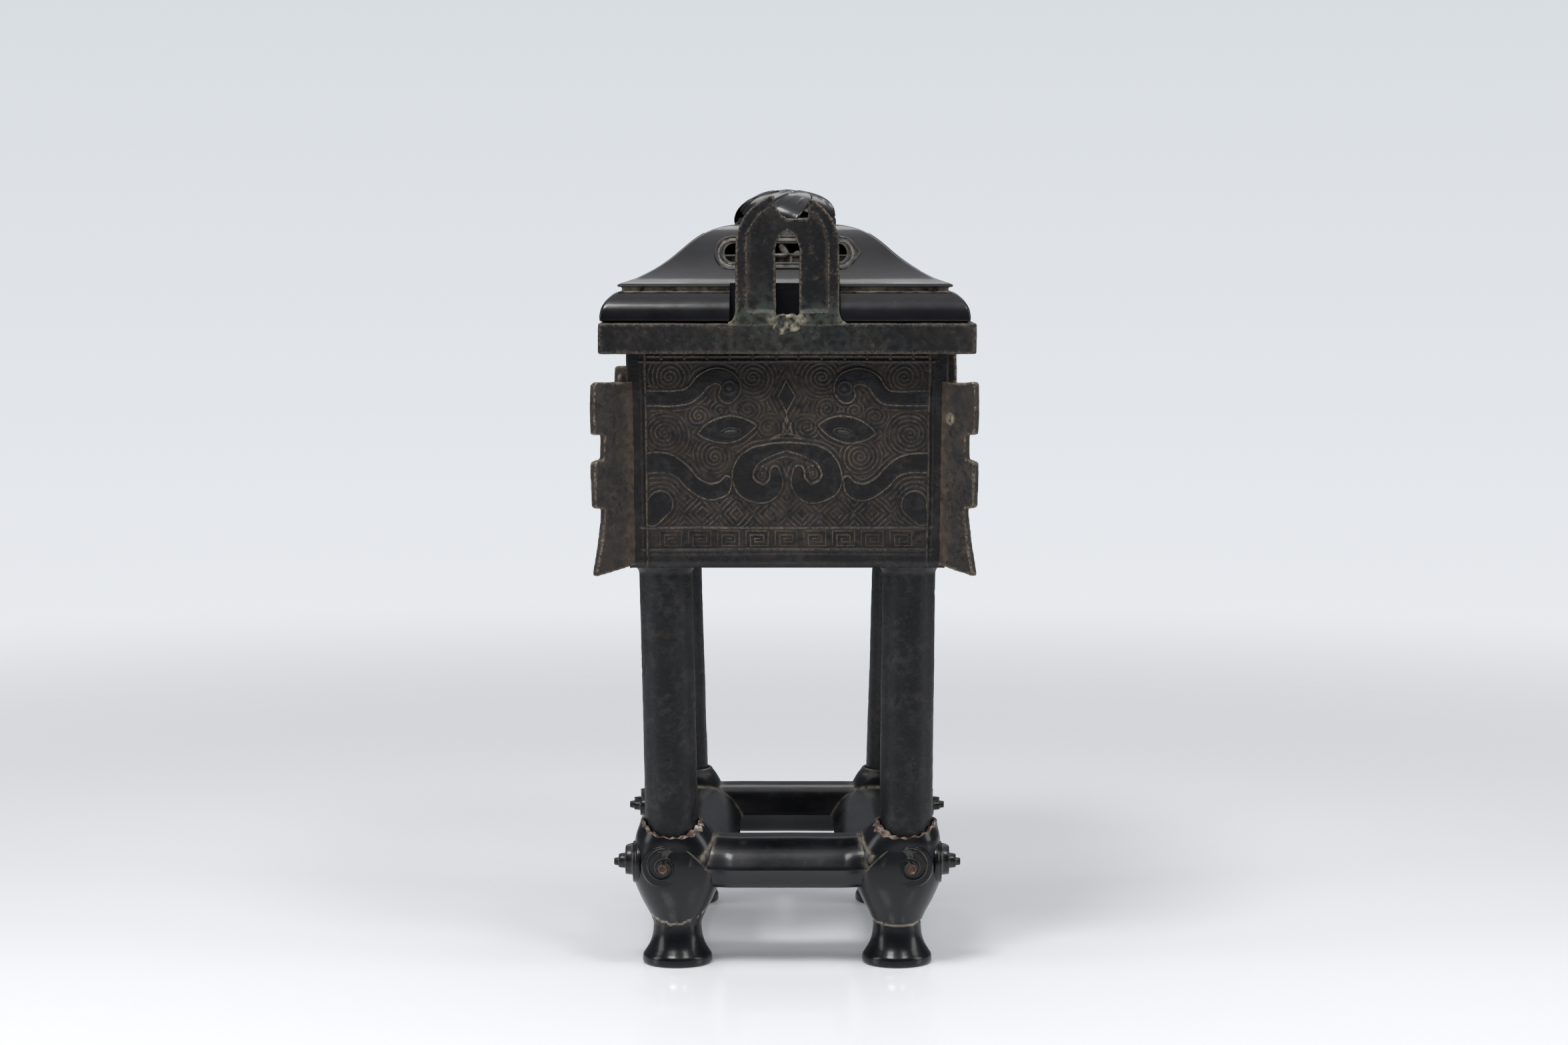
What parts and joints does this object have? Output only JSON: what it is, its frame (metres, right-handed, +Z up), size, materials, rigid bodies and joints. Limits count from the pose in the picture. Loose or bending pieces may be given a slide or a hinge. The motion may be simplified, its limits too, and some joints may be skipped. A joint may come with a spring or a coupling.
{
  "type": "rectangular bronze ding (fangding censer) with pierced wooden lid and stand",
  "caption": "Rectangular bronze vessel with mask relief, notched flanges and upright handles on slender legs, under a pierced wooden lid with a carved finial, in a wooden stand.",
  "frame": {"origin": "on the ground, at the middle of the stand's footprint", "axes": "+Z up; +X to the right as one faces the short side with the broken handle crown; +Y away from that side"},
  "size_m": [0.1288, 0.1638, 0.2635],
  "materials": {
    "bronze": "cast bronze with a pitted charcoal patina, brown dust in the relief",
    "lid_wood": "polished near-black hardwood, pale dust in the grooves",
    "stand_wood": "polished near-black hardwood, reddish where it is broken"
  },
  "bodies": {
    "root": {"ding": "bronze", "lid": "lid_wood", "lid_finial": "lid_wood", "stand_foot_front_left": "stand_wood", "stand_foot_front_right": "stand_wood", "stand_foot_rear_left": "stand_wood", "stand_foot_rear_right": "stand_wood", "stand_rail_front": "stand_wood", "stand_rail_rear": "stand_wood", "stand_rail_left": "stand_wood", "stand_rail_right": "stand_wood"}
  },
  "joints": []
}
